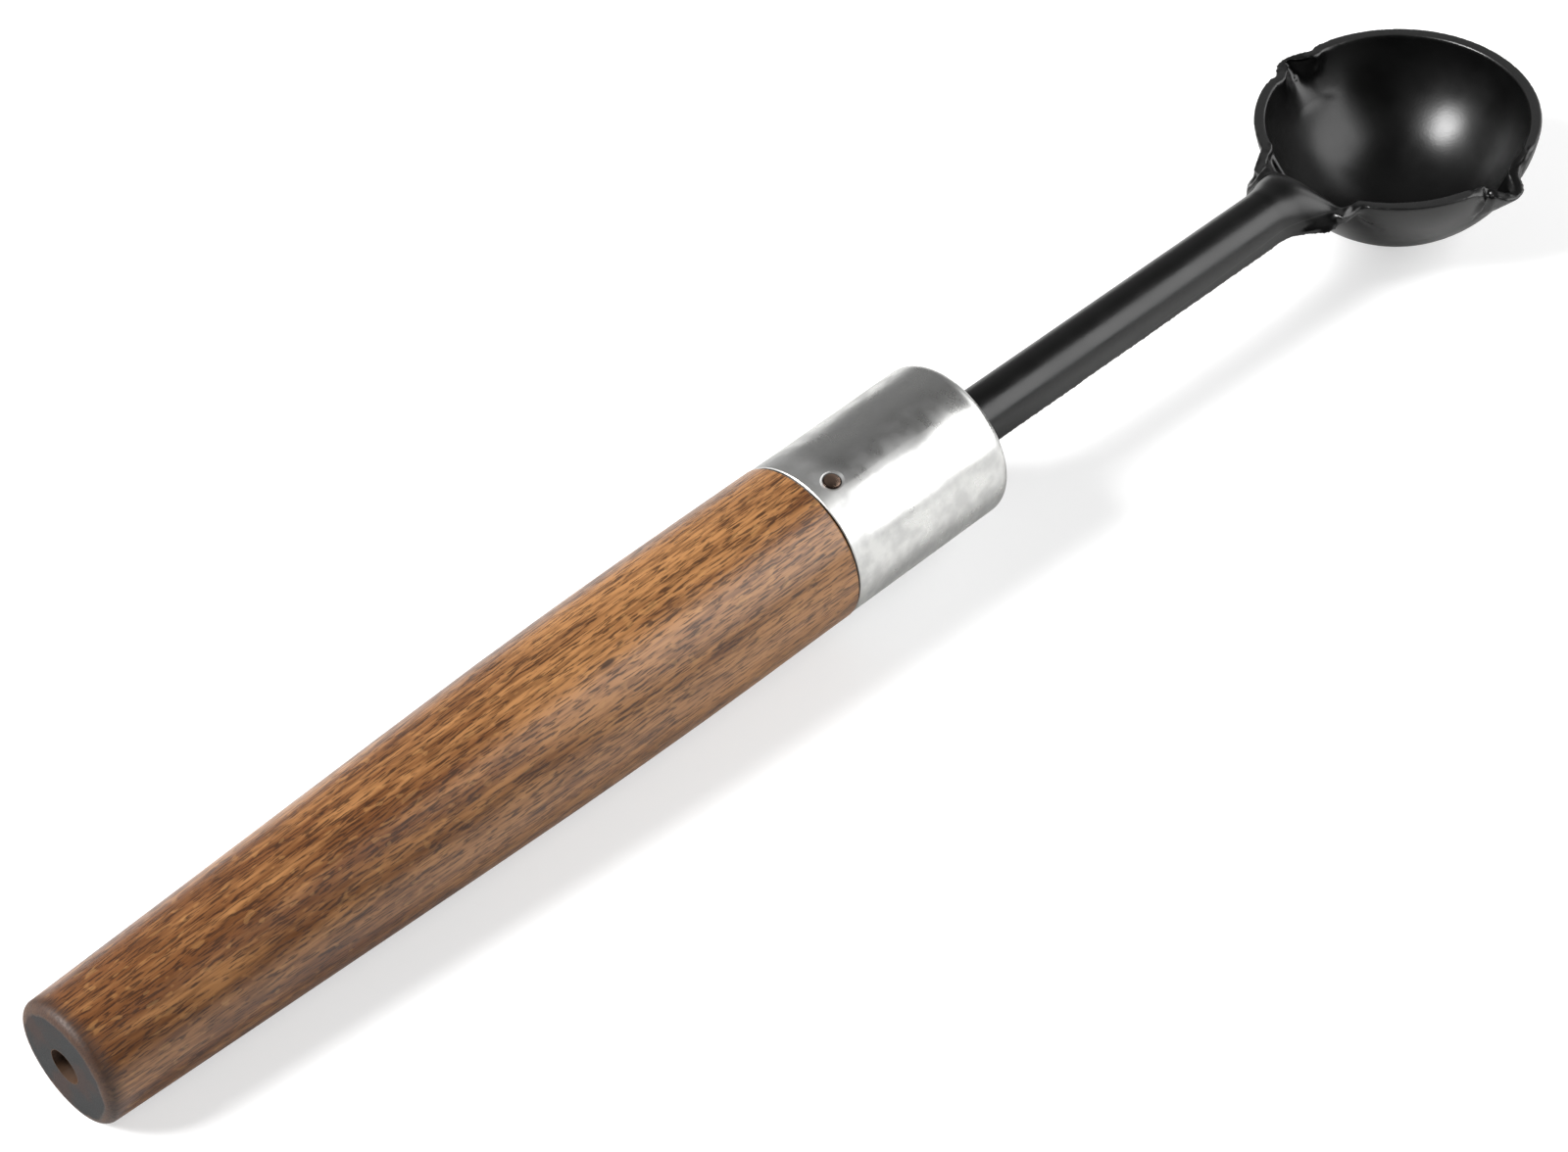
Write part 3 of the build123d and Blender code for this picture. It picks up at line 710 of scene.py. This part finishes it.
FAR_SIDE_AZIMUTH = math.radians(60)
ROOM_FAR = 0.25
ROOM_ROOF = 0.14
ROOM_SEEN = 0.93
world = bpy.data.worlds.new("studio")
world.use_nodes = True
bpy.context.scene.world = world
tree = world.node_tree
ray = add_node(tree, "TexCoord")["Generated"]
far_way = towards(math.cos(FAR_SIDE_AZIMUTH), math.sin(FAR_SIDE_AZIMUTH), 0)
far_side = add_node(tree, "VectorMath", {0: ray, 1: far_way}, operation="DOT_PRODUCT")["Value"]
upwards = add_node(tree, "VectorMath", {0: ray, 1: handle_up}, operation="DOT_PRODUCT")["Value"]
far_share = add_node(
    tree, "MapRange", {"Value": far_side, "From Min": -0.5, "From Max": 0.4}, interpolation_type="SMOOTHSTEP",
)["Result"]
wall_light = add_node(tree, "MapRange", {
    "Value": upwards, "From Min": 0.6, "From Max": 0.8, "To Min": ROOM_FAR, "To Max": ROOM_ROOF,
}, interpolation_type="SMOOTHSTEP")["Result"]
room = add_node(tree, "Math", {0: far_share, 1: wall_light}, operation="MULTIPLY")["Value"]
seen_by_eye = add_node(tree, "LightPath")["Is Camera Ray"]
give_inputs(tree, tree.nodes["Background"], {
    "Color": linear(WHITE),
    "Strength": add_node(tree, "Mix", {"Factor": seen_by_eye, "A": room, "B": ROOM_SEEN})["Result"],
})


def soft_box(name, middle, aim, width, height, brightness):
    """A flat lamp. Its places are in the handle's frame and its brightness is that of its face."""
    lamp_data = bpy.data.lights.new(name, "AREA")
    lamp_data.shape = "RECTANGLE"
    lamp_data.size = width
    lamp_data.size_y = height
    lamp_data.energy = brightness * math.pi * width * height
    lamp = bpy.data.objects.new(name, lamp_data)
    bpy.context.scene.collection.objects.link(lamp)
    back = (from_butt(*middle) - from_butt(*aim)).normalized()
    lamp_turn = back.to_track_quat("Z", "Y").to_matrix().to_4x4()
    lamp.matrix_world = Matrix.Translation(from_butt(*middle)) @ lamp_turn
    lamp.visible_camera = False


FAR_LAMP_AWAY = 1600
FAR_LAMP_AZIMUTH = math.radians(155)
FAR_LAMP_HEIGHT = math.radians(41)
far_lamp_place = (
    BOWL_FROM_BUTT + FAR_LAMP_AWAY * math.cos(FAR_LAMP_HEIGHT) * math.cos(FAR_LAMP_AZIMUTH),
    FAR_LAMP_AWAY * math.cos(FAR_LAMP_HEIGHT) * math.sin(FAR_LAMP_AZIMUTH),
    FAR_LAMP_AWAY * math.sin(FAR_LAMP_HEIGHT),
)
soft_box("far_soft_box", far_lamp_place, (BOWL_FROM_BUTT, 0, 0), width=0.5, height=0.55, brightness=52.0)
soft_box("near_soft_box", (455, -262, 285), (390, -92, 285), width=0.405, height=0.51, brightness=4.4)
soft_box("end_soft_box", (667, -65, 230), (569, -47, 230), width=0.254, height=0.34, brightness=2.4)


# Camera
# It stands on the near side towards the butt and looks down on the ladle, at the photograph's angle.
LENS = 101.0
SENSOR_WIDTH = 36
CAMERA_PLACE = (-153.2, -308.0, 382.9)
CAMERA_LOOK = (0.4774, 0.5476, -0.6873)
CAMERA_RIGHT = (0.7143, -0.6974, -0.0595)
camera_data = bpy.data.cameras.new("camera")
camera_data.lens = LENS
camera_data.sensor_width = SENSOR_WIDTH
camera = bpy.data.objects.new("camera", camera_data)
bpy.context.scene.collection.objects.link(camera)
look = towards(*CAMERA_LOOK)
to_right = towards(*CAMERA_RIGHT)
camera_turn = Matrix((to_right, to_right.cross(look), -look)).transposed().to_4x4()
camera.matrix_world = Matrix.Translation(from_butt(*CAMERA_PLACE)) @ camera_turn
bpy.context.scene.camera = camera
bpy.context.scene.view_settings.view_transform = "Standard"
